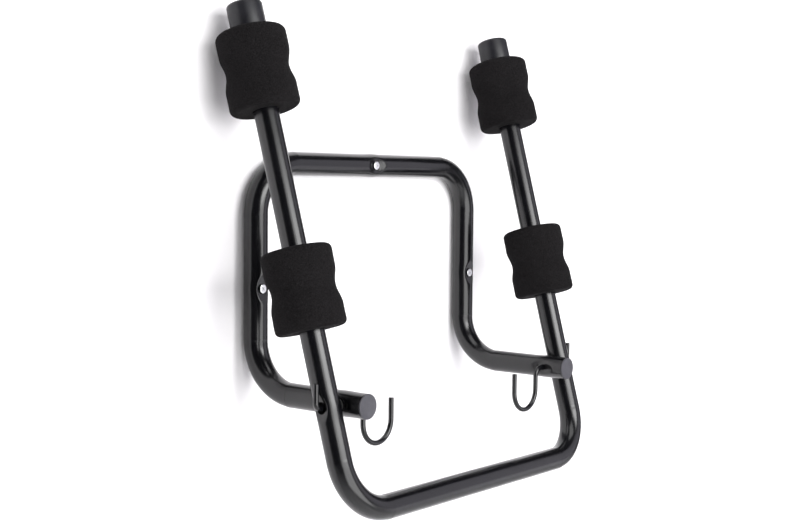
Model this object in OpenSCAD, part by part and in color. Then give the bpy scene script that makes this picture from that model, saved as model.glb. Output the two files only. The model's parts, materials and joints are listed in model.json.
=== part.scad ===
// Folding wall rack: a tube bracket screwed to the wall and a tube frame that
// hangs on its two arms and folds back against the wall. Foam cradles on the
// frame's arms carry skis, a board or a bicycle, and a wire hook at each pivot
// carries poles or a helmet.
// Millimetres. X runs to the right along the wall, +Y into the wall, +Z up.
// The origin is on the wall's surface, on the axis of the top screw.

/* [Tubes] */
// Outer diameter of both bent tubes
tube_d = 25; // [23:0.5:27]
// Wall thickness of both bent tubes
tube_wall = 1.5; // [1:0.1:2.5]
// Centreline radius of every bend
bend_r = 53; // [45:1:58]

/* [Wall bracket] */
// Distance between the centrelines of the bracket's two legs
bracket_w = 354; // [300:1:420]
// Height of the top bar above the pivots, centre to centre
bar_h = 232; // [210:1:300]
// Height of the two leg screws above the pivots
leg_screw_h = 104.5; // [80:0.5:140]
// Reach of the arms from the wall to the face of their end caps
arm_reach = 165; // [155:1:200]
// Distance from the wall to the pivot axis
pivot_out = 137; // [130:1:140]

/* [Folding frame] */
// Gap between the two tubes at each pivot
pivot_gap = 1.6; // [1.2:0.1:3]
// Drop from the pivots to the crossbar's centreline
crossbar_drop = 105; // [95:1:115]
// Length of the arms above the pivots, to the top of their caps
arm_up = 402; // [390:1:450]
// Outward lean of each arm
splay = 0.9; // [0:0.1:1.5]
// Lean of the folded frame towards the wall
rest_lean = 15.7; // [12:0.1:16]

/* [Foam cradles] */
// Outer diameter at the two bulges
foam_d = 70; // [66:1:76]
// Diameter at the bottom of the groove
foam_waist_d = 63; // [60:0.5:66]
// Length of each roller
foam_len = 80; // [70:1:84]
// Distance from the pivots to the middle of the upper rollers
foam_upper_at = 333; // [300:1:334]
// Distance from the pivots to the middle of the left middle roller
foam_middle_left_at = 114; // [100:1:200]
// Distance from the pivots to the middle of the right middle roller
foam_middle_right_at = 125; // [100:1:200]

/* [Arm caps] */
// Outer diameter of the caps on top of the arms
arm_cap_d = 36; // [32:1:40]
// Thickness of the caps' closed top
arm_cap_top = 4; // [3:0.5:6]

/* [Hooks] */
// Diameter of the hook wire
wire_d = 5.5; // [4.5:0.1:6.5]
// Centreline radius of the hook's round bottom
hook_r = 21.5; // [15:0.5:24]
// Depth of the hook's lowest centreline point below the pivot axis
hook_drop = 45; // [38:0.1:55]
// Height of the turned-up outer end above the pivot axis
hook_tail_h = 24; // [15:1:35]

/* [Screws] */
// Diameter of the screw heads
head_d = 9.2; // [7:0.1:9.6]
// Outer diameter of the screw threads
thread_d = 5; // [4:0.1:6]
// Length of thread that goes into the wall
thread_len = 32; // [25:1:50]

/* [Hidden] */
$fn = 64;

LEFT = -1;
RIGHT = 1;

tube_r = tube_d / 2;
bore_r = tube_r - tube_wall;
wire_r = wire_d / 2;
// Radial play of the pins, plugs and rollers
play = 0.08;
// Length by which a cutting shape passes a face
past = 1;

// Bends
mark_len = 0.8;
mark_proud = 0.1;

// Wall bracket
leg_x = bracket_w / 2;
bracket_cap_t = 2;
arm_end = arm_reach - bracket_cap_t;
plug_len = 11;
plug_wall = 1.8;

// Folding frame, in its own plane, with Z along the arms from the pivot axis
pivot_x = leg_x + tube_d + pivot_gap;
corner_x = pivot_x - crossbar_drop * tan(splay);
corner_turn = 90 - splay;
corner_cut = bend_r * tan(corner_turn / 2);
arm_below = crossbar_drop / cos(splay);
arm_tube_up = arm_up - arm_cap_top;

// Foam cradles
foam_r = foam_d / 2;
foam_waist_r = foam_waist_d / 2;
foam_corner = 5;
foam_groove_half = foam_len * 0.24;
foam_upper_end = foam_upper_at + foam_len / 2;

// Arm caps
cap_gap = 0.3;
arm_cap_r = arm_cap_d / 2;
arm_cap_round = 2.5;
arm_cap_low = foam_upper_end + cap_gap;

// Hooks
hook_bend_r = 9;
tail_bend_r = 5.5;
// The tail's bend starts inside the arm's outer wall, so that hole is wider
arm_hole_play = 0.4;
tail_clear = 1.6;
tail_x = pivot_x + tube_r + tail_clear + wire_r;
near_leg_x = leg_x - tube_r - 12;
hook_mid_x = near_leg_x - hook_r;
hook_mid_z = hook_r - hook_drop;
far_leg_top = -2;

// Screws and the pressed dishes they sit in
dish_depth = 3;
dish_half_len = 14;
dish_r = (pow(dish_half_len, 2) + pow(dish_depth, 2)) / (2 * dish_depth);
// The heads stand this far out of the dish's floor
head_proud = 1.6;
head_face = tube_d - dish_depth + head_proud;
head_len = 2.7;
shank_r = thread_d / 2 - 0.7;
thread_r = thread_d / 2;
tip_len = 5;
tip_r = 0.6;
head_play = 0.12;
recess_w = 1.1;
recess_l = 5.2;
recess_depth = 1.5;

// Pivot washers
washer_r = 7;
washer_play = 0.2;
washer_t = pivot_gap - 2 * washer_play;

// ---- Frames of reference ----

// Moves children from the pivot axis's middle to its place on the wall bracket
module at_pivots() {
    translate([0, -pivot_out, -bar_h]) children();
}

// Moves children from the folding frame's own plane to its folded position
module folded() {
    at_pivots() rotate([-rest_lean, 0, 0]) children();
}

// Moves children along one arm of the folding frame, from the pivot axis up
module on_arm(side, up) {
    folded() translate([side * pivot_x, 0, 0]) rotate([0, side * splay, 0]) translate([0, 0, up]) children();
}

// Points a screw's own +Z at the wall, at a place given along the wall
module into_wall(x, z) {
    translate([x, 0, z]) rotate([-90, 0, 0]) children();
}

// ---- Tube pieces ----

module tube_section() {
    difference() {
        circle(tube_r);
        circle(bore_r);
    }
}

// Straight tube from the origin along +Z
module tube_run(length) {
    linear_extrude(length) tube_section();
}

// Slight ring that the bending tool leaves where a bend ends, across the origin
module bend_mark() {
    linear_extrude(mark_len, center = true) difference() {
        circle(tube_r + mark_proud);
        circle(bore_r - mark_proud);
    }
}

// Bend that starts at the origin along +Z and turns towards +X
module tube_bend(turn) {
    translate([bend_r, 0, 0]) rotate([90, 0, 0]) mirror([1, 0, 0])
        rotate_extrude(angle = turn, $fn = 128) translate([bend_r, 0]) tube_section();
    bend_mark();
    translate([bend_r * (1 - cos(turn)), 0, bend_r * sin(turn)]) rotate([0, turn, 0]) bend_mark();
}

// ---- Wall bracket ----

module bracket_half(side) {
    bar_half = leg_x - bend_r;
    leg_len = bar_h - 2 * bend_r;
    flip = side == RIGHT ? 0 : 1;
    mirror([flip, 0, 0]) translate([0, -tube_r, 0]) {
        rotate([0, 90, 0]) tube_run(bar_half);
        translate([leg_x, 0, -bend_r]) rotate([0, 0, 180]) tube_bend(90);
        translate([leg_x, 0, -bend_r - leg_len]) tube_run(leg_len);
        translate([leg_x, 0, bend_r - bar_h]) mirror([0, 0, 1]) rotate([0, 0, -90]) tube_bend(90);
        translate([leg_x, -bend_r, -bar_h]) rotate([90, 0, 0]) tube_run(arm_end - tube_r - bend_r);
    }
}

// Round bar laid across a leg or the bar, which cuts a shallow oval dish in its front
module dish(along_bar, deeper) {
    translate([0, 0, dish_depth - dish_r - tube_d]) rotate(along_bar ? [90, 0, 0] : [0, 90, 0])
        cylinder(h = 2 * tube_d, r = dish_r + deeper, center = true, $fn = 256);
}

// Tube wall that the press pushed in to form a dish
module dish_wall(along_bar) {
    intersection() {
        dish(along_bar, tube_wall);
        translate([0, 0, -tube_r]) rotate(along_bar ? [0, 90, 0] : [90, 0, 0])
            cylinder(h = 3 * tube_d, r = tube_r, center = true);
    }
}

// Countersunk hole through the dish's floor and a round one through the tube's back
module screw_hole() {
    cone_slope = (head_d / 2 - shank_r) / head_len;
    translate([0, 0, -tube_d - past])
        cylinder(h = tube_d + 2 * past, r = thread_r + head_play);
    translate([0, 0, -head_face - past])
        cylinder(h = head_len + past, r1 = head_d / 2 + head_play + cone_slope * past, r2 = shank_r + head_play);
}

module wall_bracket() {
    color("#16171a") difference() {
        union() {
            bracket_half(LEFT);
            bracket_half(RIGHT);
            into_wall(0, 0) dish_wall(true);
            into_wall(-leg_x, leg_screw_h - bar_h) dish_wall(false);
            into_wall(leg_x, leg_screw_h - bar_h) dish_wall(false);
        }
        for (spot = [[0, 0, 1], [-leg_x, leg_screw_h - bar_h, 0], [leg_x, leg_screw_h - bar_h, 0]])
            into_wall(spot.x, spot.y) {
                dish(spot.z == 1, 0);
                screw_hole();
            }
        at_pivots() rotate([0, 90, 0])
            cylinder(h = 2 * leg_x + 2 * tube_d, r = wire_r + play, center = true);
    }
}

// Flat cap whose hollow plug pushes into the arm's open end
module bracket_cap(side) {
    color("#3a3b3f") translate([side * leg_x, -arm_end, -bar_h]) rotate([90, 0, 0]) {
        cylinder(h = bracket_cap_t, r = tube_r);
        translate([0, 0, -plug_len]) difference() {
            cylinder(h = plug_len, r = bore_r - play);
            translate([0, 0, -past]) cylinder(h = plug_len, r = bore_r - plug_wall);
        }
    }
}

// ---- Screws ----

// Cross-head countersunk screw, with its face towards the room
module wall_screw(x, z) {
    color("#c9ccd0") into_wall(x, z) {
        difference() {
            translate([0, 0, -head_face]) cylinder(h = head_len, r1 = head_d / 2, r2 = shank_r);
            for (turn = [0, 90])
                rotate([0, 0, turn + 20]) translate([-recess_l / 2, -recess_w / 2, -head_face - past])
                    cube([recess_l, recess_w, recess_depth + past]);
        }
        translate([0, 0, head_len - head_face]) cylinder(h = head_face - head_len, r = shank_r);
        cylinder(h = thread_len, r = thread_r);
        translate([0, 0, thread_len]) cylinder(h = tip_len, r1 = thread_r, r2 = tip_r);
    }
}

// ---- Folding frame ----

module frame_half(side) {
    flip = side == RIGHT ? 0 : 1;
    mirror([flip, 0, 0]) {
        translate([0, 0, -crossbar_drop]) rotate([0, 90, 0]) tube_run(corner_x - corner_cut);
        translate([corner_x, 0, -crossbar_drop]) rotate([0, splay, 0]) {
            translate([0, 0, corner_cut]) mirror([0, 0, 1]) rotate([0, 0, 180]) tube_bend(corner_turn);
            translate([0, 0, corner_cut]) tube_run(arm_below + arm_tube_up - corner_cut);
        }
    }
}

module folding_frame() {
    color("#16171a") folded() difference() {
        union() {
            frame_half(LEFT);
            frame_half(RIGHT);
        }
        rotate([0, 90, 0])
            cylinder(h = 2 * pivot_x + 2 * tube_d, r = wire_r + arm_hole_play, center = true);
    }
}

// Cap that covers an arm's top end and stops the upper roller sliding off
module arm_cap(side) {
    cap_len = arm_up - arm_cap_low;
    rounding = [for (a = [0:15:90])
        [arm_cap_r - arm_cap_round * (1 - cos(a)), cap_len - arm_cap_round * (1 - sin(a))]];
    color("#1d1e21") on_arm(side, arm_cap_low) difference() {
        rotate_extrude() polygon(concat([[0, 0], [arm_cap_r, 0]], rounding, [[0, cap_len]]));
        translate([0, 0, -past]) cylinder(h = cap_len - arm_cap_top + past, r = tube_r + play);
    }
}

// Radius of a roller at a distance from its middle: a smooth groove between two bulges
function foam_radius(z) =
    abs(z) > foam_groove_half ? foam_r
    : foam_waist_r + (foam_r - foam_waist_r) * (1 - cos(180 * z / foam_groove_half)) / 2;

module foam(side, middle) {
    half = foam_len / 2;
    step = foam_groove_half / 8;
    low_corner = [for (a = [0:18:90])
        [foam_r - foam_corner * (1 - sin(a)), -half + foam_corner * (1 - cos(a))]];
    groove = [for (i = [-8:8]) [foam_radius(i * step), i * step]];
    high_corner = [for (a = [90:-18:0])
        [foam_r - foam_corner * (1 - sin(a)), half - foam_corner * (1 - cos(a))]];
    inner = tube_r + play;
    color("#0e0e10") on_arm(side, middle)
        rotate_extrude() polygon(concat([[inner, -half]], low_corner, groove, high_corner, [[inner, half]]));
}

// ---- Hooks and washers ----

// Wire from the origin along +Z
module wire_run(length) {
    cylinder(h = length, r = wire_r, $fn = 32);
}

// Wire arc in the XZ plane about the origin, from one angle through a turn
module wire_arc(radius, start, turn) {
    rotate([90, 0, 0]) rotate([0, 0, start])
        rotate_extrude(angle = turn, $fn = 96) translate([radius, 0]) circle(wire_r, $fn = 32);
}

// One wire: turned-up tail outside, pin through both tubes, round hook inside
module hook(side) {
    pin_in = near_leg_x + hook_bend_r;
    pin_out = tail_x - tail_bend_r;
    flip = side == RIGHT ? 0 : 1;
    color("#232427") at_pivots() mirror([flip, 0, 0]) {
        translate([tail_x, 0, tail_bend_r]) wire_run(hook_tail_h - tail_bend_r);
        translate([pin_out, 0, tail_bend_r]) wire_arc(tail_bend_r, 270, 90);
        translate([pin_in, 0, 0]) rotate([0, 90, 0]) wire_run(pin_out - pin_in);
        translate([pin_in, 0, -hook_bend_r]) wire_arc(hook_bend_r, 90, 90);
        translate([near_leg_x, 0, hook_mid_z]) wire_run(-hook_bend_r - hook_mid_z);
        translate([hook_mid_x, 0, hook_mid_z]) wire_arc(hook_r, 180, 180);
        translate([hook_mid_x - hook_r, 0, hook_mid_z]) wire_run(far_leg_top - hook_mid_z);
    }
}

module pivot_washer(side) {
    color("#101012") at_pivots() translate([side * (leg_x + tube_r + pivot_gap / 2), 0, 0]) rotate([0, 90, 0])
        difference() {
            cylinder(h = washer_t, r = washer_r, center = true);
            cylinder(h = washer_t + 2 * past, r = wire_r + play, center = true);
        }
}

wall_bracket();
bracket_cap(LEFT);  // bracket_cap_left
bracket_cap(RIGHT);  // bracket_cap_right
wall_screw(0, 0);  // screw_top
wall_screw(-leg_x, leg_screw_h - bar_h);  // screw_left
wall_screw(leg_x, leg_screw_h - bar_h);  // screw_right
pivot_washer(LEFT);  // pivot_washer_left
pivot_washer(RIGHT);  // pivot_washer_right
folding_frame();
arm_cap(LEFT);  // arm_cap_left
arm_cap(RIGHT);  // arm_cap_right
foam(LEFT, foam_upper_at);  // foam_upper_left
foam(RIGHT, foam_upper_at);  // foam_upper_right
foam(LEFT, foam_middle_left_at);  // foam_middle_left
foam(RIGHT, foam_middle_right_at);  // foam_middle_right
hook(LEFT);  // hook_left
hook(RIGHT);  // hook_right
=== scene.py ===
"""Looks of a folding wall rack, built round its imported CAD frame.

Metres. X runs along the wall, +Y into it and +Z up. The origin is on the wall, on the top screw's
axis. Places come from the frame: its boxes, its mounts and its fold hinge.
"""

import json
import math

import bmesh
import bpy
import numpy as np
from mathutils import Matrix, Vector, noise


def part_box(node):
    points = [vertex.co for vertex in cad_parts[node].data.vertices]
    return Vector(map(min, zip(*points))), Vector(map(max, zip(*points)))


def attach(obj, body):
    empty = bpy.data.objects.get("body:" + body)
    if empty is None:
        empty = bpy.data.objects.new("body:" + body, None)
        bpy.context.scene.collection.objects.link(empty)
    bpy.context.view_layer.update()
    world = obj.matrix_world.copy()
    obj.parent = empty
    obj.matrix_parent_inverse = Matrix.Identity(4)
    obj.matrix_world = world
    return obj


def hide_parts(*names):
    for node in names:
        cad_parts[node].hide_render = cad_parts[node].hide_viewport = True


MM = 0.001
SIDES = {"left": -1, "right": 1}

# ---- Sizes that the frame's boxes and mounts don't state ----

# Both tubes: their bends, and the slight ovals and marks that bending leaves
BEND_R = 53 * MM
BEND_OVAL = 0.03
BEND_MARK = 0.1 * MM
BEND_MARK_REACH = 1.6 * MM

# Folding frame: its crossbar below the pivots, and the tubes' tops above them
CROSSBAR_DROP = 105 * MM
ARM_UP = 398 * MM

# Pressed dishes at the screws and pivots, and the dimple in the middle of each
DISH_DEPTH = 3 * MM
PIVOT_DISH_DEPTH = 2.4 * MM
DISH_HALF_LEN = 14 * MM
DIMPLE_DEPTH = 0.6 * MM
DIMPLE_R = 8 * MM

# Foam rollers
FOAM_R = 35 * MM
FOAM_WAIST_R = 31.5 * MM
FOAM_LEN = 80 * MM
FOAM_GROOVE_HALF = 19.2 * MM
FOAM_CORNER = 5.5 * MM

# Caps
ARM_CAP_R = 18 * MM
ARM_CAP_LEN = 28.7 * MM
ARM_CAP_TOP = 402 * MM
CAP_THICK = 2.2 * MM

# Hooks, and the holes their pins run in
WIRE_R = 2.75 * MM
HOOK_R = 21.5 * MM
HOOK_BEND_R = 9 * MM
TAIL_BEND_R = 5.5 * MM
PIN_HOLE_R = WIRE_R + 0.5 * MM
OUTER_PIN_HOLE_R = 6 * MM

# Screws, and their holes in the tube's front and back walls
HEAD_LEN = 2.7 * MM
SHANK_R = 1.8 * MM
THREAD_R = 2.5 * MM
THREAD_PITCH = 2.2 * MM
THREAD_TIP = 5 * MM
HEAD_HOLE_R = 3.5 * MM
THREAD_HOLE_R = THREAD_R + 0.2 * MM

# Edges that turn by more than this stay sharp, unless a piece states its own angle
SHARP_DEG = 35

# ---- Places from the frame ----

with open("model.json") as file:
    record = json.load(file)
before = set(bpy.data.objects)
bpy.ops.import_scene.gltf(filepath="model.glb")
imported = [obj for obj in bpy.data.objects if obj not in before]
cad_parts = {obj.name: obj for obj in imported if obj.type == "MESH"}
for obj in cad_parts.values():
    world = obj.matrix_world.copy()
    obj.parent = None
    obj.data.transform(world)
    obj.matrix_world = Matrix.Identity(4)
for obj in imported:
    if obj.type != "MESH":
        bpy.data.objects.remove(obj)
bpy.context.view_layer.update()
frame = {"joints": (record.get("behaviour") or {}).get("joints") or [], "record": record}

mounts = {m["name"]: m for m in frame["record"]["mounts"]}
hinge = next(j for j in frame["joints"] if j["name"] == "fold_hinge")
pivot_y, pivot_z = hinge["pos_m"][1], hinge["pos_m"][2]

cap_low, cap_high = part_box("bracket_cap_right")
tube_r = (cap_high.x - cap_low.x) / 2
leg_x = (cap_high.x + cap_low.x) / 2
washer_low, washer_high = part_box("pivot_washer_right")
pivot_gap = washer_low.x + washer_high.x - 2 * (leg_x + tube_r)
pivot_x = leg_x + 2 * tube_r + pivot_gap


def place(name):
    """Where a mount is."""
    return Vector(mounts[name]["pos_m"])


def arm_line(side):
    """The pivot end and the upward direction of one arm of the folding frame."""
    start = Vector((SIDES[side] * pivot_x, pivot_y, pivot_z))
    return start, (place("cradle_upper_" + side) - start).normalized()


# ---- Mesh tools ----


def smooth_step(x):
    """0 below 0, 1 above 1 and a soft S between."""
    x = np.clip(x, 0, 1)
    return x * x * (3 - 2 * x)


def mesh_object(name, points, faces, sharp_deg=SHARP_DEG):
    """A smooth-shaded mesh object whose edges over an angle stay sharp."""
    mesh = bpy.data.meshes.new(name)
    mesh.from_pydata([tuple(p) for p in points], [], faces)
    mesh.validate()
    build = bmesh.new()
    build.from_mesh(mesh)
    bmesh.ops.recalc_face_normals(build, faces=build.faces)
    build.to_mesh(mesh)
    build.free()
    mesh.shade_smooth()
    mesh.set_sharp_from_angle(angle=math.radians(sharp_deg))
    piece = bpy.data.objects.new(name, mesh)
    bpy.context.scene.collection.objects.link(piece)
    return piece


def ring_faces(rings, sides):
    """Quads between neighbouring rings, and one face over each end."""
    faces = []
    for i in range(rings - 1):
        for j in range(sides):
            k = (j + 1) % sides
            here, there = i * sides, (i + 1) * sides
            faces.append((here + j, here + k, there + k, there + j))
    faces.append(tuple(range(sides)))
    faces.append(tuple((rings - 1) * sides + j for j in reversed(range(sides))))
    return faces


def side_vector(direction):
    """A unit vector square to a direction."""
    other = Vector((0, 1, 0)) if abs(direction.y) < 0.9 else Vector((1, 0, 0))
    return (other - direction * direction.dot(other)).normalized()


def lathe(name, start, axis, profile, sides=96, sharp_deg=SHARP_DEG, ring=False):
    """A solid turned about an axis from (radius, height) points.

    It is closed over its two ends, or with ring=True the last point joins the first round a bore.
    """
    u = side_vector(axis)
    v = axis.cross(u)
    turns = [2 * math.pi * j / sides for j in range(sides)]
    points = [
        start + axis * h + (u * math.cos(t) + v * math.sin(t)) * r
        for r, h in profile
        for t in turns
    ]
    faces = ring_faces(len(profile), sides)
    if ring:
        last = (len(profile) - 1) * sides
        bore = [(last + j, last + (j + 1) % sides, (j + 1) % sides, j) for j in range(sides)]
        faces = faces[:-2] + bore
    return mesh_object(name, points, faces, sharp_deg)


def arc_points(centre_r, centre_h, radius, first_deg, last_deg, count):
    """Profile points on an arc; 0 degrees is outwards and 90 is up."""
    angles = np.radians(np.linspace(first_deg, last_deg, count))
    return [(centre_r + radius * math.cos(a), centre_h + radius * math.sin(a)) for a in angles]


# ---- Bent tubes ----


def bent_path(corners, bend_r):
    """The straight and round stretches of a tube through these corners."""
    corners = [Vector(c) for c in corners]
    stretches = []
    start = corners[0]
    for before, corner, after in zip(corners, corners[1:], corners[2:]):
        a = (corner - before).normalized()
        b = (after - corner).normalized()
        turn = a.angle(b)
        cut = bend_r * math.tan(turn / 2)
        stretches.append({"start": start, "along": a, "length": (corner - start).length - cut})
        inward = (b - a * a.dot(b)).normalized()
        bend = {"start": corner - a * cut, "along": a, "length": bend_r * turn}
        stretches.append({**bend, "inward": inward, "turn": turn})
        start = corner + b * cut
    rest = corners[-1] - start
    stretches.append({"start": start, "along": rest.normalized(), "length": rest.length})
    return stretches


def ring_places(stretch, features, coarse, fine, window):
    """Distances along a stretch at which it gets a ring, close together near features and ends."""
    length = stretch["length"]
    if "turn" in stretch:
        return np.linspace(0, length, max(8, int(length / (1.6 * fine))))[:-1]
    places = [np.linspace(0, length, max(2, int(length / coarse)))]
    near = [(f - stretch["start"]).dot(stretch["along"]) for f in features]
    end_window = 4 * MM
    for middle, reach in [(t, window) for t in near] + [(0, end_window), (length, end_window)]:
        places.append(np.arange(middle - reach, middle + reach, fine))
    places = np.concatenate(places)
    places = np.sort(places[(places >= 0) & (places < length)])
    keep = np.concatenate([[True], np.diff(places) > 0.3 * fine])
    return places[keep]


def tube_rings(
    corners,
    bend_r,
    radius,
    features=(),
    sides=96,
    coarse=8 * MM,
    fine=0.8 * MM,
    window=20 * MM,
    oval=0.0,
    mark=0.0,
):
    """Ring points of a bent tube.

    Rings stand coarse apart, or fine apart within a window round each feature. Bends are flattened
    by the share oval, and a ridge of height mark runs round where a bend starts.
    """
    stretches = bent_path(corners, bend_r)
    u = side_vector(stretches[0]["along"])
    angles = np.linspace(0, 2 * math.pi, sides, endpoint=False)
    centres, normals, radii = [], [], []
    for stretch in stretches:
        along, start, length = stretch["along"], stretch["start"], stretch["length"]
        bend = "turn" in stretch
        places = ring_places(stretch, features, coarse, fine, window)
        if stretch is stretches[-1]:
            places = np.append(places, length)
        for t in places:
            if bend:
                angle = t / bend_r
                turn = Matrix.Rotation(angle, 3, along.cross(stretch["inward"]))
                centre = start + stretch["inward"] * bend_r + turn @ (stretch["inward"] * -bend_r)
                direction, side = turn @ along, turn @ u
                inward = np.array(turn @ stretch["inward"])
            else:
                centre, direction, side = start + along * t, along, u
            v = np.array(direction.cross(side))
            normal = np.outer(np.cos(angles), np.array(side)) + np.outer(np.sin(angles), v)
            r = np.full(sides, radius)
            to_end = min(t, length - t)
            if bend:
                flat = smooth_step(to_end / (7 * MM))
                r = r + oval * radius * flat * (0.4 - 1.4 * (normal @ inward) ** 2)
            in_last = stretch is stretches[-1]
            if mark and stretch is not stretches[0] and not (in_last and t >= length / 2):
                r = r + mark * math.exp(-((to_end / BEND_MARK_REACH) ** 2))
            centres.append(np.array(centre))
            normals.append(normal)
            radii.append(r)
        if bend:
            u = Matrix.Rotation(stretch["turn"], 3, along.cross(stretch["inward"])) @ u
    centres, normals, radii = np.array(centres), np.array(normals), np.array(radii)
    return centres[:, None, :] + normals * radii[..., None]


def press(points, middle, facing, along, depth, swell):
    """Presses a shallow oval dish into the side of a tube that faces one way.

    The dish has a small dimple in its middle and a soft rim, and the tube's flanks swell a little.
    """
    middle, facing, along = (np.array(x, float) for x in (middle, facing, along))
    across = np.cross(facing, along)
    away = points - middle
    lengthwise, outward, crosswise = away @ along, away @ facing, away @ across
    limit = tube_r - depth * (1 - (lengthwise / DISH_HALF_LEN) ** 2)
    limit = limit - DIMPLE_DEPTH * np.clip(1 - (lengthwise**2 + crosswise**2) / DIMPLE_R**2, 0, 1)
    on_this_tube = np.hypot(outward, crosswise) < 1.5 * tube_r
    here = (np.abs(lengthwise) < 2 * DISH_HALF_LEN) & on_this_tube
    soft = 0.3 * MM
    down = np.where(here & (outward > 0), soft * np.logaddexp(0, (outward - limit) / soft), 0)
    near = np.where(here, np.exp(-((lengthwise / (0.75 * DISH_HALF_LEN)) ** 2)), 0)
    flank = np.clip(np.abs(crosswise) / tube_r, 0, 1) ** 4
    aside = np.sign(crosswise) * swell * near * flank
    return points - facing * down[..., None] + across * aside[..., None]


def cut_holes(piece, cutters):
    """Takes the cutters out of a piece and removes them."""
    for cutter in cutters:
        cut = piece.modifiers.new("cut", "BOOLEAN")
        cut.operation = "DIFFERENCE"
        cut.solver = "EXACT"
        cut.object = cutter
    bpy.context.view_layer.update()
    shape = piece.evaluated_get(bpy.context.evaluated_depsgraph_get())
    mesh = bpy.data.meshes.new_from_object(shape)
    piece.modifiers.clear()
    piece.data = mesh
    mesh.shade_smooth()
    mesh.set_sharp_from_angle(angle=math.radians(SHARP_DEG))
    for cutter in cutters:
        bpy.data.objects.remove(cutter)
    return piece


def hole_cutter(start, direction, *steps):
    """A cutter along a direction, from (radius, how far it reaches) steps."""
    profile, reached = [], 0.0
    for radius, reach in steps:
        profile += [(radius, reached), (radius, reach)]
        reached = reach
    return lathe("cutter", Vector(start), Vector(direction), profile, sides=48)


# ---- Materials ----


def new_material(name, base, roughness):
    """A Principled material with its node tree and its shader node."""
    material = bpy.data.materials.new(name)
    material.use_nodes = True
    shader = material.node_tree.nodes["Principled BSDF"]
    shader.inputs["Base Color"].default_value = (*base, 1)
    shader.inputs["Roughness"].default_value = roughness
    return material, material.node_tree, shader


def add_node(tree, kind, **inputs):
    """A new node with some inputs set; an underscore in a name stands for a space."""
    node = tree.nodes.new(kind)
    for name, value in inputs.items():
        node.inputs[name.replace("_", " ")].default_value = value
    return node


def object_noise(tree, scale, detail=2.0, stretch=(1, 1, 1)):
    """Noise fixed to the piece, with features about 1/scale metres across."""
    where = tree.nodes.new("ShaderNodeTexCoord")
    mapping = add_node(tree, "ShaderNodeMapping", Scale=stretch)
    pattern = add_node(tree, "ShaderNodeTexNoise", Scale=scale, Detail=detail)
    tree.links.new(where.outputs["Object"], mapping.inputs["Vector"])
    tree.links.new(mapping.outputs["Vector"], pattern.inputs["Vector"])
    return pattern.outputs["Fac"]


def spread_range(tree, value, low, high, from_low=0.3, from_high=0.7):
    """Maps a value's usual range to low..high; it stops at both ends."""
    node = add_node(tree, "ShaderNodeMapRange")
    node.inputs["From Min"].default_value = from_low
    node.inputs["From Max"].default_value = from_high
    node.inputs["To Min"].default_value = low
    node.inputs["To Max"].default_value = high
    tree.links.new(value, node.inputs["Value"])
    return node.outputs["Result"]


def colour_between(tree, value, first, second):
    """A colour that goes from the first to the second as value goes from 0 to 1."""
    mix = tree.nodes.new("ShaderNodeMix")
    mix.data_type = "RGBA"
    mix.inputs[6].default_value = (*first, 1)
    mix.inputs[7].default_value = (*second, 1)
    tree.links.new(value, mix.inputs[0])
    return mix.outputs[2]


def add_bump(tree, shader, heights, strength=1.0):
    """Stacks bumps, each a (height socket, depth in metres) pair."""
    last = None
    for height, distance in heights:
        bump = add_node(tree, "ShaderNodeBump", Strength=strength, Distance=distance)
        tree.links.new(height, bump.inputs["Height"])
        if last is not None:
            tree.links.new(last, bump.inputs["Normal"])
        last = bump.outputs["Normal"]
    tree.links.new(last, shader.inputs["Normal"])


def tube_paint():
    """Semi-gloss black powder coat: faint orange peel, cloudy gloss and a few fine specks."""
    material, tree, shader = new_material("tube_paint", (0.0025, 0.0025, 0.0034), 0.24)
    cloud = object_noise(tree, 28, 3)
    tree.links.new(spread_range(tree, cloud, 0.19, 0.25), shader.inputs["Roughness"])
    tint = spread_range(tree, object_noise(tree, 60, 2), 0, 1)
    shade = colour_between(tree, tint, (0.0018, 0.0018, 0.0025), (0.0032, 0.0031, 0.0043))
    tree.links.new(shade, shader.inputs["Base Color"])
    peel = object_noise(tree, 300, 1)
    specks = object_noise(tree, 1500, 1)
    add_bump(tree, shader, [(peel, 0.012 * MM), (specks, 0.006 * MM)])
    return material


def hook_paint():
    """Glossier black coat on the hook wire."""
    material, tree, shader = new_material("hook_paint", (0.004, 0.004, 0.005), 0.14)
    cloud = object_noise(tree, 90, 2)
    tree.links.new(spread_range(tree, cloud, 0.1, 0.18), shader.inputs["Roughness"])
    add_bump(tree, shader, [(object_noise(tree, 600, 1), 0.008 * MM)])
    return material


def foam_rubber():
    """Matte black closed-cell foam: a fine grain, slight colour drift and cut pores."""
    material, tree, shader = new_material("foam_rubber", (0.008, 0.008, 0.009), 0.93)
    drift_share = 0.2
    both = tree.nodes.new("ShaderNodeMath")
    both.operation = "MULTIPLY_ADD"
    both.inputs[1].default_value = drift_share
    tree.links.new(object_noise(tree, 30, 2), both.inputs[0])
    tree.links.new(object_noise(tree, 900, 2), both.inputs[2])
    grain = spread_range(tree, both.outputs[0], 0, 1, 0.4, 0.8)
    shade = colour_between(tree, grain, (0.0035, 0.0032, 0.0034), (0.0135, 0.0124, 0.0132))
    tree.links.new(shade, shader.inputs["Base Color"])
    shader.inputs["Specular IOR Level"].default_value = 0.06
    where = tree.nodes.new("ShaderNodeTexCoord")
    pores = add_node(tree, "ShaderNodeTexVoronoi", Scale=1100)
    tree.links.new(where.outputs["Object"], pores.inputs["Vector"])
    lumps = object_noise(tree, 420, 3)
    dust = object_noise(tree, 2200, 2)
    heights = [(lumps, 0.5 * MM), (pores.outputs["Distance"], 0.35 * MM), (dust, 0.1 * MM)]
    add_bump(tree, shader, heights)
    return material


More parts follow.
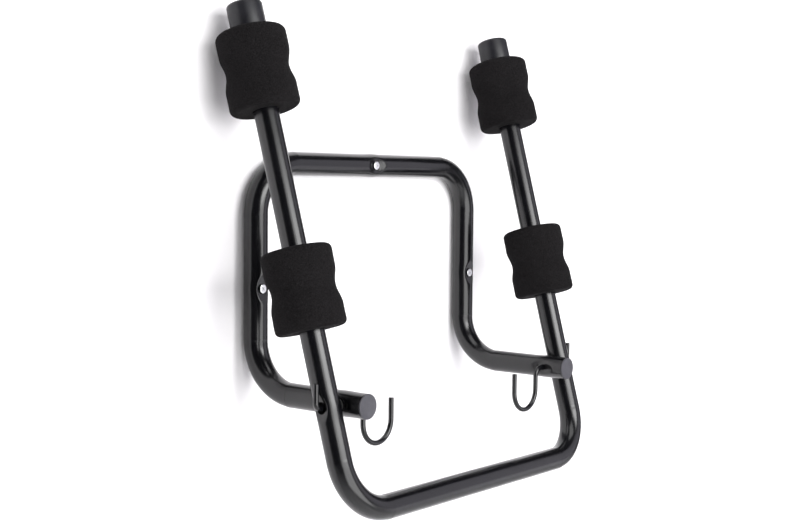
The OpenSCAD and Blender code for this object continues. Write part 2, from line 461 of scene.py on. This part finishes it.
def moulded_plastic(name, dark, light, rough_low, rough_high, gloss=0.5):
    """Moulded plastic with a fine even grain."""
    material, tree, shader = new_material(name, dark, rough_low)
    cloud = spread_range(tree, object_noise(tree, 70, 3), 0, 1)
    tree.links.new(colour_between(tree, cloud, dark, light), shader.inputs["Base Color"])
    dull = spread_range(tree, object_noise(tree, 150, 2), rough_low, rough_high)
    tree.links.new(dull, shader.inputs["Roughness"])
    shader.inputs["Specular IOR Level"].default_value = gloss
    add_bump(tree, shader, [(object_noise(tree, 1300, 2), 0.06 * MM)])
    return material


def screw_zinc():
    """Bright zinc plate with cloudy gloss, a slightly warmer tint in places and a fine grain."""
    material, tree, shader = new_material("screw_zinc", (0.8, 0.81, 0.82), 0.25)
    shader.inputs["Metallic"].default_value = 1.0
    tint = spread_range(tree, object_noise(tree, 350, 3), 0, 1)
    shade = colour_between(tree, tint, (0.74, 0.75, 0.77), (0.86, 0.86, 0.85))
    tree.links.new(shade, shader.inputs["Base Color"])
    cloud = object_noise(tree, 800, 2)
    tree.links.new(spread_range(tree, cloud, 0.2, 0.36), shader.inputs["Roughness"])
    add_bump(tree, shader, [(object_noise(tree, 2500, 2), 0.02 * MM)])
    return material


def pale_stage(name, base, glow):
    """Pale matte paint with a faint glow, for the stage.

    It is seen from its front only, so that views from behind show the object.
    """
    material, tree, shader = new_material(name, base, 0.9)
    shader.inputs["Emission Color"].default_value = (*base, 1)
    shader.inputs["Emission Strength"].default_value = glow
    shader.inputs["Specular IOR Level"].default_value = 0.1
    clear = tree.nodes.new("ShaderNodeBsdfTransparent")
    facing = tree.nodes.new("ShaderNodeNewGeometry")
    mix = tree.nodes.new("ShaderNodeMixShader")
    tree.links.new(facing.outputs["Backfacing"], mix.inputs[0])
    tree.links.new(shader.outputs[0], mix.inputs[1])
    tree.links.new(clear.outputs[0], mix.inputs[2])
    tree.links.new(mix.outputs[0], tree.nodes["Material Output"].inputs["Surface"])
    return material


PAINT = tube_paint()
HOOK_PAINT = hook_paint()
FOAM = foam_rubber()
CAP_PLASTIC = moulded_plastic(
    "cap_plastic",
    dark=(0.038, 0.037, 0.045),
    light=(0.05, 0.049, 0.059),
    rough_low=0.42,
    rough_high=0.55,
)
VINYL = moulded_plastic(
    "arm_cap_vinyl",
    dark=(0.007, 0.007, 0.0095),
    light=(0.01, 0.01, 0.0135),
    rough_low=0.34,
    rough_high=0.44,
    gloss=0.36,
)
NYLON = moulded_plastic(
    "washer_nylon",
    dark=(0.012, 0.012, 0.012),
    light=(0.02, 0.02, 0.02),
    rough_low=0.4,
    rough_high=0.5,
)
ZINC = screw_zinc()


def finish_piece(piece, material, body, node):
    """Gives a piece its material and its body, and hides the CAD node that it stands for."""
    piece.data.materials.clear()
    piece.data.materials.append(material)
    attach(piece, body)
    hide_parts(node)
    return piece


# ---- The two tubes ----


def wall_bracket():
    """Tube from one arm's end over the wall to the other's, dished at its screws and pivots."""
    screws = [place("wall_screw_" + s) - Vector((0, tube_r, 0)) for s in ("top", "left", "right")]
    pins = [Vector((s * leg_x, pivot_y, pivot_z)) for s in SIDES.values()]
    tube_end_y = cap_low.y + 2 * MM
    corners = [
        (-leg_x, tube_end_y, pivot_z),
        (-leg_x, -tube_r, pivot_z),
        (-leg_x, -tube_r, 0),
        (leg_x, -tube_r, 0),
        (leg_x, -tube_r, pivot_z),
        (leg_x, tube_end_y, pivot_z),
    ]
    points = tube_rings(corners, BEND_R, tube_r, screws + pins, oval=BEND_OVAL, mark=BEND_MARK)
    for screw in screws:
        run = (1, 0, 0) if screw.x == 0 else (0, 0, 1)
        points = press(points, screw, (0, -1, 0), run, DISH_DEPTH, swell=0.5 * MM)
    for pin in pins:
        for facing in (-1, 1):
            points = press(points, pin, (facing, 0, 0), (0, 1, 0), PIVOT_DISH_DEPTH, swell=0.2 * MM)
    rings, sides = points.shape[:2]
    piece = mesh_object("wall_bracket_tube", points.reshape(-1, 3), ring_faces(rings, sides))
    cutters = []
    for pin in pins:
        reach = 20 * MM
        beside = pin - Vector((reach, 0, 0))
        cutters.append(hole_cutter(beside, (1, 0, 0), (PIN_HOLE_R, 2 * reach)))
    for screw in screws:
        front = Vector((screw.x, -tube_r * 2 - 1 * MM, screw.z))
        through_front, through_back = (HEAD_HOLE_R, 6.5 * MM), (THREAD_HOLE_R, 28 * MM)
        cutters.append(hole_cutter(front, (0, 1, 0), through_front, through_back))
    cut_holes(piece, cutters)
    return finish_piece(piece, PAINT, "bracket", "wall_bracket")


def folding_frame():
    """Tube down one arm, along the crossbar and up the other arm, dished at its pivots."""
    corners, pins = [], []
    for side in SIDES:
        pivot, up = arm_line(side)
        down = up * -CROSSBAR_DROP / (up - Vector((up.x, 0, 0))).length
        pins.append(pivot)
        corners.append([pivot + up * ARM_UP, pivot + down])
    corners = corners[0] + corners[1][::-1]
    points = tube_rings(corners, BEND_R, tube_r, pins, oval=BEND_OVAL, mark=BEND_MARK)
    for side, pin in zip(SIDES, pins):
        up = arm_line(side)[1]
        outward = (SIDES[side], 0, 0)
        points = press(points, pin, outward, up, DISH_DEPTH, swell=0.4 * MM)
    rings, sides = points.shape[:2]
    piece = mesh_object("folding_frame_tube", points.reshape(-1, 3), ring_faces(rings, sides))
    cutters = []
    for side, pin in zip(SIDES, pins):
        inward = Vector((-SIDES[side], 0, 0))
        reach = 20 * MM
        wide, narrow = (OUTER_PIN_HOLE_R, 17 * MM), (PIN_HOLE_R, 2 * reach)
        cutters.append(hole_cutter(pin - inward * reach, inward, wide, narrow))
    cut_holes(piece, cutters)
    return finish_piece(piece, PAINT, "frame", "folding_frame")


# ---- Caps ----


def bracket_cap(side):
    """Push-in end cap: a dished face in a soft rim, with a fine groove where it meets the tube."""
    start = Vector((SIDES[side] * leg_x, cap_low.y + CAP_THICK, pivot_z))
    rim = tube_r - 0.1 * MM
    edge = 0.7 * MM
    groove = [(rim - 0.5 * MM, 0), (rim - 0.5 * MM, 0.25 * MM)]
    wall = [(rim, 0.5 * MM), (rim, 1.4 * MM)]
    rounding = arc_points(rim - edge, 1.5 * MM, edge, 0, 90, 6)
    slope = [(rim - 1.7 * MM, 2.15 * MM), (rim - 2.4 * MM, 1.95 * MM)]
    face = [(6 * MM, 1.9 * MM), (0.3 * MM, 1.9 * MM)]
    profile = groove + wall + rounding + slope + face
    piece = lathe("end_cap_" + side, start, Vector((0, -1, 0)), profile, 96, 50)
    return finish_piece(piece, CAP_PLASTIC, "bracket", "bracket_cap_" + side)


def arm_cap(side):
    """Tall soft cap over the top of an arm, with a rounded shoulder and a faint lip at its foot."""
    pivot, up = arm_line(side)
    foot = ARM_CAP_TOP - ARM_CAP_LEN
    shoulder = 3.2 * MM
    wide, upper = ARM_CAP_R, ARM_CAP_R - 0.1 * MM
    groove = ARM_CAP_R - 0.12 * MM
    lip = [(wide - 1.2 * MM, 0), (wide - 0.2 * MM, 0.1 * MM), (wide, 0.6 * MM), (wide, 2.2 * MM)]
    flank = [(groove, 2.5 * MM), (groove, 3 * MM), (wide, 3.4 * MM)]
    flank += [(upper, ARM_CAP_LEN - shoulder - 2 * MM)]
    rounding = arc_points(upper - shoulder, ARM_CAP_LEN - shoulder, shoulder, 0, 84, 12)
    top = [(9 * MM, ARM_CAP_LEN - 0.05 * MM), (0.3 * MM, ARM_CAP_LEN)]
    profile = lip + flank + rounding + top
    piece = lathe("arm_cap_" + side + "_cover", pivot + up * foot, up, profile, 128, 60)
    return finish_piece(piece, VINYL, "frame", "arm_cap_" + side)


def pivot_washer(side):
    """Thin nylon washer on the pin between the two tubes, with rounded edges."""
    low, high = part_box("pivot_washer_" + side)
    middle = (low + high) / 2
    thick, outer, bore = high.x - low.x, (high.z - low.z) / 2, WIRE_R + 0.1 * MM
    soft = 0.25 * MM
    start = Vector((low.x, middle.y, middle.z))
    near_face = [(bore, 0), (outer - soft, 0), (outer, soft)]
    far_face = [(outer, thick - soft), (outer - soft, thick), (bore, thick)]
    profile = near_face + far_face
    piece = lathe(f"washer_{side}_ring", start, Vector((1, 0, 0)), profile, 64, 30, ring=True)
    return finish_piece(piece, NYLON, "bracket", "pivot_washer_" + side)


# ---- Foam rollers ----


def foam_radius(h):
    """Radius of a roller at a height from its middle: one smooth groove between straight ends."""
    if abs(h) > FOAM_GROOVE_HALF:
        return FOAM_R
    rise = (1 - math.cos(math.pi * h / FOAM_GROOVE_HALF)) / 2
    return FOAM_WAIST_R + (FOAM_R - FOAM_WAIST_R) * rise


def foam_roller(level, side):
    """Cut foam roller: slightly uneven skin, soft corners and a bore that grips the tube."""
    up = arm_line(side)[1]
    middle = place(f"cradle_{level}_{side}")
    half = FOAM_LEN / 2
    inner = tube_r + 0.05 * MM
    corner_r, corner_h = FOAM_R - FOAM_CORNER, half - FOAM_CORNER
    flat = [(r, -half) for r in np.arange(inner + 1.2 * MM, corner_r, 1.5 * MM)]
    low_corner = arc_points(corner_r, -corner_h, FOAM_CORNER, -90, 0, 10)
    high_corner = arc_points(corner_r, corner_h, FOAM_CORNER, 0, 90, 10)
    skin = [(foam_radius(h), h) for h in np.linspace(-corner_h, corner_h, 64)[1:-1]]
    lip = [(inner, -half + 1.4 * MM), (inner + 0.3 * MM, -half + 0.4 * MM)]
    profile = lip + flat + low_corner + skin + high_corner
    profile += [(r, -h) for r, h in reversed(flat)] + [(r, -h) for r, h in reversed(lip)]
    piece = lathe(f"foam_{level}_{side}_roller", middle, up, profile, 144, 80)
    shift = Vector((len(level) * 3.1, SIDES[side] * 7.7, 0.0))
    for vertex in piece.data.vertices:
        away = vertex.co - middle
        out = away - up * away.dot(up)
        wave = noise.noise(away * 55 + shift) * 0.35 + noise.noise(away * 190 + shift) * 0.12
        clear_of_tube = smooth_step((out.length - tube_r) / (8 * MM))
        vertex.co += out.normalized() * wave * MM * clear_of_tube
    piece.data.update()
    return finish_piece(piece, FOAM, "frame", f"foam_{level}_{side}")


# ---- Hooks ----


def rounded_end(ring, next_ring):
    """A narrower ring at a wire's end and a full one just behind it."""
    middle = ring.mean(axis=0)
    inward = next_ring.mean(axis=0) - middle
    inward = inward / np.linalg.norm(inward)
    face = middle + (ring - middle) * 0.84
    return face, ring + inward * 0.45 * MM


def hook(side):
    """One bent wire: turned-up tail, pin through both tubes and a round hook."""
    low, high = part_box("hook_" + side)
    sign = SIDES[side]
    outer = max(abs(low.x), abs(high.x)) - WIRE_R
    far = min(abs(low.x), abs(high.x)) + WIRE_R
    near = far + 2 * HOOK_R
    bottom, top = low.z + WIRE_R, high.z
    tip = pivot_z - 2 * MM
    y = pivot_y
    pin_end = (near + HOOK_BEND_R + 5 * MM, y, pivot_z)
    neck_end = (near, y, bottom + HOOK_R)
    tail = [(outer, y, top), (outer, y, pivot_z), pin_end]
    neck = [pin_end, (near, y, pivot_z), neck_end]
    bowl = [neck_end, (near, y, bottom), (far, y, bottom), (far, y, tip)]
    rings = []
    for corners, bend in ((tail, TAIL_BEND_R), (neck, HOOK_BEND_R), (bowl, HOOK_R - 0.01 * MM)):
        mirrored = [(sign * c[0], c[1], c[2]) for c in corners]
        rings.append(tube_rings(mirrored, bend, WIRE_R, sides=32, coarse=4 * MM, fine=1.2 * MM))
    points = np.concatenate([rings[0][:-1], rings[1][:-1], rings[2]])
    first_face, first_rim = rounded_end(points[0], points[1])
    last_face, last_rim = rounded_end(points[-1], points[-2])
    points = np.concatenate([[first_face, first_rim], points[1:-1], [last_rim, last_face]])
    faces = ring_faces(*points.shape[:2])
    piece = mesh_object("hook_" + side + "_wire", points.reshape(-1, 3), faces, 40)
    return finish_piece(piece, HOOK_PAINT, "hook_" + side, "hook_" + side)


# ---- Screws ----


def screw_thread(start, length):
    """A threaded shank along +Y whose ridge winds round it and runs out at its point."""
    rings, sides = 170, 40
    core = 0.72
    heights = np.linspace(0, length, rings)
    turns = np.linspace(0, 2 * math.pi, sides, endpoint=False)
    h, t = np.meshgrid(heights, turns, indexing="ij")
    ridge = np.abs(((h / THREAD_PITCH - t / (2 * math.pi)) % 1) - 0.5) * 2
    taper = np.clip((length - h) / THREAD_TIP, 0.08, 1)
    r = THREAD_R * taper * (core + (1 - core) * smooth_step((ridge - 0.35) / 0.6))
    points = np.stack([start.x + r * np.cos(t), start.y + h, start.z + r * np.sin(t)], axis=-1)
    return mesh_object("shank", points.reshape(-1, 3), ring_faces(rings, sides), 50)


def cross_cutters(face, turn_deg):
    """Two tapered blades that cut a cross recess into a head whose face looks along -Y."""
    mouth, floor = (-1.0, 2.6, 0.62), (2.0, 0.9, 0.3)
    cutters = []
    for quarter in (0, 90):
        points = []
        for depth, half_len, half_width in (mouth, floor):
            for x, z in ((-1, -1), (1, -1), (1, 1), (-1, 1)):
                points.append(Vector((x * half_len, depth, z * half_width)) * MM)
        spin = Matrix.Rotation(math.radians(turn_deg + quarter), 3, "Y")
        points = [face + spin @ p for p in points]
        ends = [(0, 1, 2, 3), (4, 7, 6, 5)]
        flanks = [(0, 4, 5, 1), (1, 5, 6, 2), (2, 6, 7, 3), (3, 7, 4, 0)]
        cutters.append(mesh_object("cutter", points, ends + flanks))
    return cutters


def join(pieces):
    """One object from several, keeping the first one's name."""
    mesh = bmesh.new()
    for piece in pieces:
        mesh.from_mesh(piece.data)
    keep = pieces[0]
    mesh.to_mesh(keep.data)
    mesh.free()
    for piece in pieces[1:]:
        bpy.data.objects.remove(piece)
    return keep


def wall_screw(which, turn_deg):
    """Countersunk cross-head screw: domed head, tapered recess and a threaded shank."""
    spot = place("wall_screw_" + which)
    low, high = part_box("screw_" + which)
    head_r = (high.x - low.x) / 2
    face = Vector((spot.x, low.y, spot.z))
    dome = [(0.3 * MM, 0.12 * MM), (2.6 * MM, 0.06 * MM), (head_r - 1.1 * MM, 0.0)]
    rim = [(head_r - 0.3 * MM, 0.15 * MM), (head_r, 0.45 * MM), (head_r - 0.15 * MM, 0.7 * MM)]
    neck = [(SHANK_R, HEAD_LEN), (SHANK_R, -face.y)]
    name = "screw_" + which + "_head"
    head = lathe(name, face, Vector((0, 1, 0)), dome + rim + neck, 64, 30)
    cut_holes(head, cross_cutters(face, turn_deg))
    in_tube = 1 * MM
    shank = screw_thread(Vector((spot.x, -in_tube, spot.z)), high.y + in_tube)
    piece = join([head, shank])
    return finish_piece(piece, ZINC, "bracket", "screw_" + which)


# ---- Stage, lights and camera ----


def stage_plane(name, centre, u, v, material):
    """A large plane whose front is the side that u x v points from."""
    centre, u, v = Vector(centre), Vector(u), Vector(v)
    corners = [centre - u - v, centre + u - v, centre + u + v, centre - u + v]
    mesh = bpy.data.meshes.new(name)
    mesh.from_pydata([tuple(c) for c in corners], [], [(0, 1, 2, 3)])
    mesh.materials.append(material)
    plane = bpy.data.objects.new(name, mesh)
    bpy.context.scene.collection.objects.link(plane)


def area_light(name, place_at, look_at, width, height, power, colour=(1, 1, 1)):
    """A softbox turned to a point, its power in watts."""
    lamp = bpy.data.lights.new(name, "AREA")
    lamp.shape = "RECTANGLE"
    lamp.size, lamp.size_y = width, height
    lamp.energy = power
    lamp.color = colour
    light = bpy.data.objects.new(name, lamp)
    light.location = place_at
    light.rotation_euler = (Vector(look_at) - Vector(place_at)).to_track_quat("-Z", "Y").to_euler()
    bpy.context.scene.collection.objects.link(light)


def add_stage():
    """A pale wall just behind the tubes' backs, and a pale floor far below."""
    wall = pale_stage("wall_paint", (0.9, 0.885, 0.9), glow=0.06)
    floor = pale_stage("floor_paint", (0.8, 0.8, 0.8), glow=0.5)
    wall_gap = 0.6 * MM
    wall_half, floor_half = 1.5, 6
    stage_plane("wall", (0.1, wall_gap, -0.1), (wall_half, 0, 0), (0, 0, wall_half), wall)
    stage_plane("floor", (0, -2, -1.6), (floor_half, 0, 0), (0, floor_half, 0), floor)


def add_lights():
    """A wide softbox in front with a brighter core, and weaker ones to the right and overhead.

    The room is dim in reflections and as light, and pale where the camera looks past the stage.
    """
    world = bpy.data.worlds.new("studio")
    world.use_nodes = True
    tree = world.node_tree
    dim = tree.nodes["Background"]
    dim.inputs["Color"].default_value = (0.95, 0.93, 1, 1)
    dim.inputs["Strength"].default_value = 0.04
    backdrop = add_node(tree, "ShaderNodeBackground", Color=(0.86, 0.86, 0.87, 1))
    seen = tree.nodes.new("ShaderNodeLightPath")
    mix = tree.nodes.new("ShaderNodeMixShader")
    tree.links.new(seen.outputs["Is Camera Ray"], mix.inputs[0])
    tree.links.new(dim.outputs[0], mix.inputs[1])
    tree.links.new(backdrop.outputs[0], mix.inputs[2])
    tree.links.new(mix.outputs[0], tree.nodes["World Output"].inputs["Surface"])
    bpy.context.scene.world = world
    area_light(
        "key",
        place_at=(-0.25, -2.2, 0),
        look_at=(-0.25, 0, 0),
        width=2.3,
        height=2.3,
        power=70,
    )
    area_light(
        "key_core",
        place_at=(0.05, -2.15, 0.6),
        look_at=(0.05, 0, 0.6),
        width=1.5,
        height=0.65,
        power=19,
    )
    area_light(
        "right",
        place_at=(1.75, -1.5, -0.1),
        look_at=(0, 0, -0.1),
        width=1.3,
        height=2.8,
        power=12,
        colour=(0.93, 0.9, 1),
    )
    area_light(
        "top",
        place_at=(-0.3, -0.9, 1.5),
        look_at=(-0.2, 0, -0.1),
        width=1.6,
        height=1.0,
        power=13,
    )


def add_camera():
    """The camera stands to the left of the rack, almost level with its pivots."""
    from_pivots = Vector((-1.1185, -0.8341, 0.2121))
    yaw, pitch, roll = math.radians(50.516), math.radians(3.323), math.radians(0.487)
    data = bpy.data.cameras.new("camera")
    data.sensor_width = 36
    data.lens = 59.96
    camera = bpy.data.objects.new("camera", data)
    heading = Matrix.Rotation(-yaw, 4, "Z")
    tilt = Matrix.Rotation(math.pi / 2 - pitch, 4, "X")
    lean = Matrix.Rotation(roll, 4, "Z")
    stand = Matrix.Translation(Vector((0, pivot_y, pivot_z)) + from_pivots)
    camera.matrix_world = stand @ (heading @ tilt @ lean)
    bpy.context.scene.collection.objects.link(camera)
    bpy.context.scene.camera = camera


add_camera()
add_stage()
add_lights()
bpy.context.scene.view_settings.view_transform = "Standard"

wall_bracket()
folding_frame()
for side in SIDES:
    bracket_cap(side)
    arm_cap(side)
    foam_roller("upper", side)
    foam_roller("middle", side)
    hook(side)
    pivot_washer(side)
for which, turn_deg in (("top", 12), ("left", 47), ("right", 71)):
    wall_screw(which, turn_deg)
